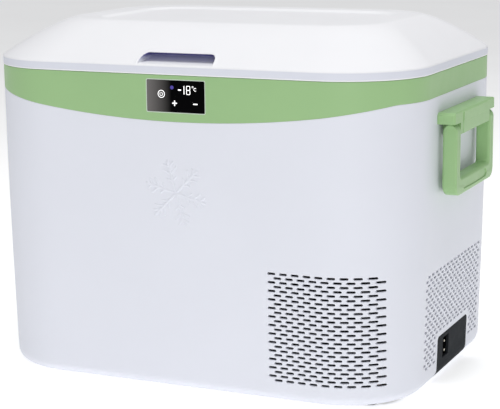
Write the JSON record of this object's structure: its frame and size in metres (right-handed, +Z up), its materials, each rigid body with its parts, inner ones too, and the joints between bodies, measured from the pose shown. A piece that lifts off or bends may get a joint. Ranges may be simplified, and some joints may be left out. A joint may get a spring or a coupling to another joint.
{
  "type": "portable compressor cooler fridge",
  "caption": "Portable compressor cooler box with a domed hinged lid, a coloured band with a touch display, folding end handles and slotted vents at one end.",
  "frame": {"origin": "middle of the footprint, on the surface the rubber feet stand on", "axes": "+X to the right when facing the display, +Y to the back where the lid hinges, +Z up"},
  "size_m": [0.541, 0.389, 0.394],
  "materials": {
    "white_plastic": "fine matt moulding",
    "green_plastic": "fine matt moulding",
    "black_plastic": "matt",
    "display_rim": "satin",
    "display_glass": "smoked, glossy",
    "foam": "rigid polyurethane foam",
    "contact_brass": "plain",
    "zinc_steel": "zinc plated",
    "pump_iron": "machined",
    "black_paint": "semi-gloss",
    "soft_rubber": "matt",
    "aluminium": "plain",
    "copper": "plain copper",
    "board": "glass-fibre board",
    "lead_cover": "matt"
  },
  "bodies": {
    "cabinet": {"outer_shell": "white_plastic", "trim_band": "green_plastic", "front_vent_grille": "white_plastic", "side_vent_grille": "white_plastic", "connector_panel": "black_plastic", "dc_socket": "black_plastic", "dc_contacts": "contact_brass", "base_pan": "zinc_steel", "base_screws": "zinc_steel", "rubber_feet": "soft_rubber", "inner_liner": "white_plastic", "foam_insulation": "foam", "bay_partition": "zinc_steel", "temperature_sensor": "copper", "evaporator_coil": "aluminium", "compressor_shell": "black_paint", "compressor_pump": "pump_iron", "compressor_terminal_cover": "black_plastic", "compressor_grommets": "soft_rubber", "compressor_studs": "zinc_steel", "condenser_tube": "black_paint", "condenser_fins": "black_paint", "condenser_end_plates": "black_paint", "discharge_line": "copper", "liquid_line": "copper", "filter_drier": "copper", "capillary_tube": "copper", "suction_line": "copper", "fan_frame": "black_plastic", "fan_bracket": "zinc_steel", "fan_screws": "zinc_steel", "control_board": "board", "board_standoffs": "board", "heat_sink": "aluminium", "power_lead": "lead_cover", "display_lead": "lead_cover", "display_board": "black_plastic", "display_bezel": "display_rim", "display_lens": "display_glass", "handle_bracket_right": "green_plastic", "handle_bracket_left": "green_plastic", "handle_pins_right": "zinc_steel", "handle_pins_left": "zinc_steel", "handle_screws": "zinc_steel", "body_hinge_leaves": "zinc_steel", "hinge_pins": "zinc_steel", "body_hinge_screws": "zinc_steel"},
    "lid": {"lid_cover": "white_plastic", "lid_inner_panel": "white_plastic", "lid_foam": "foam", "lid_gasket": "soft_rubber", "lid_hinge_leaves": "zinc_steel", "lid_hinge_screws": "zinc_steel"},
    "handle_right": {"handle_bail_right": "green_plastic"},
    "handle_left": {"handle_bail_left": "green_plastic"},
    "fan": {"fan_rotor": "black_plastic"}
  },
  "joints": [
    {"name": "lid_hinge", "type": "hinge", "parent": "cabinet", "child": "lid", "pos_m": [0, 0.1947, 0.337], "axis": [-1, 0, 0], "range_deg": [0, 100]},
    {"name": "handle_right_swing", "type": "hinge", "parent": "cabinet", "child": "handle_right", "pos_m": [0.26225, 0, 0.2815], "axis": [0, -1, 0], "range_deg": [0, 90]},
    {"name": "handle_left_swing", "type": "hinge", "parent": "cabinet", "child": "handle_left", "pos_m": [-0.26225, 0, 0.2815], "axis": [0, 1, 0], "range_deg": [0, 90]},
    {"name": "fan_spin", "type": "hinge", "parent": "cabinet", "child": "fan", "pos_m": [0.157, -0.1215, 0.069], "axis": [0, 1, 0], "continuous": true}
  ]
}
